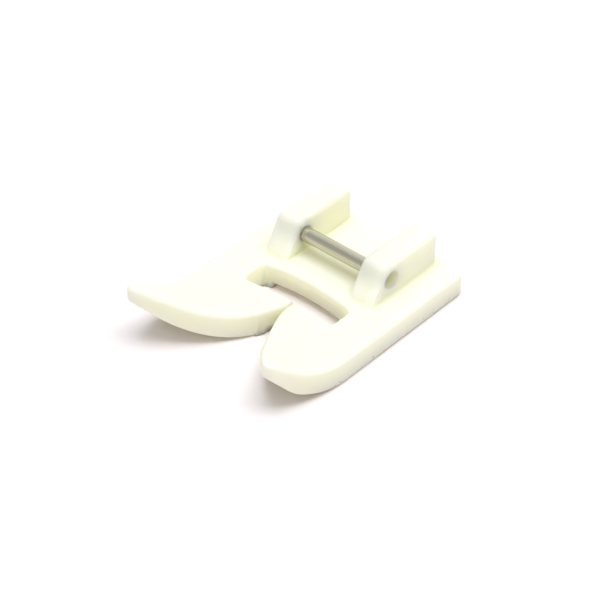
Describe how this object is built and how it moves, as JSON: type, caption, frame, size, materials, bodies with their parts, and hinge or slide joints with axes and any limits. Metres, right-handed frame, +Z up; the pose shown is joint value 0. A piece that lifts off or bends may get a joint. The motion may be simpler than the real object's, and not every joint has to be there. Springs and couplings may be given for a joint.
{
  "type": "sewing machine presser foot",
  "caption": "Clip-on presser foot in cream-white non-stick plastic: flat sole with turned-up toes, a thread slit into a curved needle slot, and ears holding a steel cross pin.",
  "frame": {"origin": "under the middle of the foot's outline, at the height of the sole's flat underside", "axes": "+X to the right of the person sewing, -Y towards the toes, +Z up out of the sole"},
  "size_m": [0.0208, 0.0284, 0.0068],
  "materials": {
    "foot": "satin, waxy cream-white moulded plastic",
    "cross_pin": "ground and polished steel pin"
  },
  "bodies": {
    "root": {"foot": "foot", "cross_pin": "cross_pin"}
  },
  "joints": []
}
